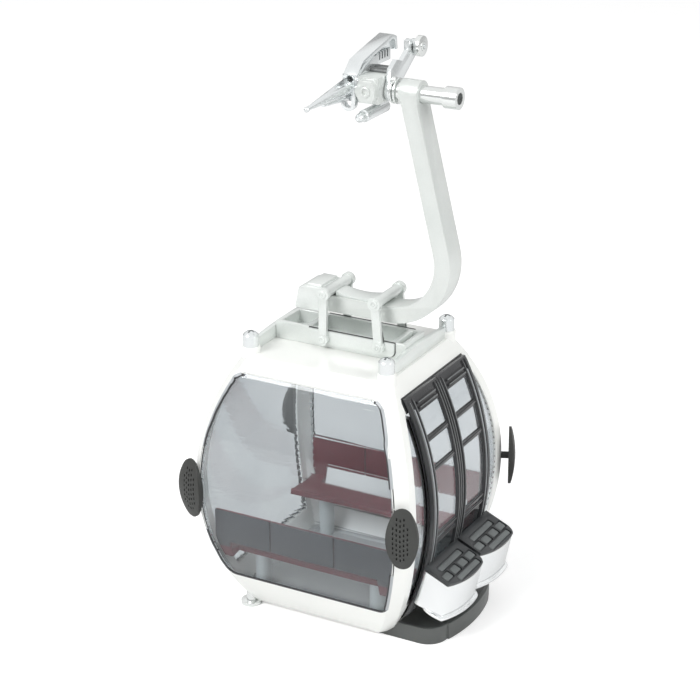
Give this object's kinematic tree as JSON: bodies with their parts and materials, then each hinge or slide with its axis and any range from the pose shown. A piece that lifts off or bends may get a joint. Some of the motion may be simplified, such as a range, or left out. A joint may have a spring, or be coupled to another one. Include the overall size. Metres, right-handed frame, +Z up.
{
  "type": "model gondola cabin",
  "caption": "Desk-size gondola cabin model with a hollow glazed shell, facing benches, sliding door leaves with ski racks, bent hanger and rope grip.",
  "frame": {"origin": "middle of the model's footprint box, on the ground", "axes": "+X out of the door side, +Y along the rope, +Z up"},
  "size_m": [0.0734, 0.0612, 0.1449],
  "materials": {
    "white_shell": "satin gloss",
    "black_frame": "semi gloss",
    "black_lid": "semi gloss",
    "smoked_glass": "clear smoked",
    "silver_pocket": "metallic",
    "floor_grey": "matte",
    "pedestal_grey": "satin",
    "seat_red": "satin",
    "seat_grey": "satin",
    "bumper_rubber": "matte",
    "turned_steel": "bright",
    "cast_silver": "satin"
  },
  "bodies": {
    "cabin": {"roof_shell": "white_shell", "floor_pan": "white_shell", "front_end_frame": "white_shell", "rear_end_frame": "white_shell", "left_side_frame": "white_shell", "door_surround": "black_frame", "front_window": "smoked_glass", "rear_window": "smoked_glass", "left_window": "smoked_glass", "door_side_glass": "smoked_glass", "entrance_step": "black_frame", "feet": "turned_steel", "cabin_floor": "floor_grey", "front_bench": "seat_red", "front_bench_back": "seat_grey", "rear_bench": "seat_red", "rear_bench_back": "seat_grey", "bench_pedestals": "pedestal_grey", "door_front_bumper": "bumper_rubber", "door_rear_bumper": "bumper_rubber", "left_front_bumper": "bumper_rubber", "left_rear_bumper": "bumper_rubber", "roof_carrier": "cast_silver", "carrier_plates": "cast_silver", "roof_rails": "cast_silver", "roof_posts": "turned_steel", "inner_yoke": "cast_silver", "outer_yoke": "cast_silver", "saddle_strip": "cast_silver", "hanger_arm": "cast_silver", "hanger_end_block": "cast_silver", "pivot_pin": "turned_steel", "pivot_tube": "turned_steel", "pivot_washers": "turned_steel"},
    "front_leaf": {"front_leaf_frame": "black_frame", "front_leaf_glass": "smoked_glass", "front_rack_body": "silver_pocket", "front_rack_lid": "black_lid"},
    "rear_leaf": {"rear_leaf_frame": "black_frame", "rear_leaf_glass": "smoked_glass", "rear_rack_body": "silver_pocket", "rear_rack_lid": "black_lid"},
    "grip": {"grip_body": "cast_silver", "fixed_jaw": "cast_silver", "lower_jaw": "cast_silver", "rope_horns": "cast_silver", "hook_ring": "cast_silver", "grip_hood": "cast_silver", "grip_handle": "cast_silver"},
    "lever": {"grip_lever": "cast_silver"},
    "roller": {"lever_roller": "turned_steel"}
  },
  "joints": [
    {"name": "rear_leaf_slide", "type": "slide", "parent": "cabin", "child": "rear_leaf", "axis": [0, 1, 0], "range_m": [0, 0.0085]},
    {"name": "front_leaf_slide", "type": "slide", "parent": "cabin", "child": "front_leaf", "axis": [0, -1, 0], "range_m": [0, 0.0085]},
    {"name": "grip_swing", "type": "hinge", "parent": "cabin", "child": "grip", "pos_m": [0.009, 0, 0.1343], "axis": [1, 0, 0], "range_deg": [-40, 40]},
    {"name": "lever_press", "type": "hinge", "parent": "grip", "child": "lever", "pos_m": [0.009, 0, 0.1343], "axis": [1, 0, 0], "range_deg": [-15, 0], "stiffness_Nm_per_rad": 0.002, "springref_deg": 11.46},
    {"name": "roller_spin", "type": "hinge", "parent": "lever", "child": "roller", "pos_m": [0.0114, 0.0116, 0.1424], "axis": [1, 0, 0], "continuous": true}
  ],
  "couplings": [
    {"joint": "front_leaf_slide", "follows": "rear_leaf_slide", "ratio": 1}
  ]
}
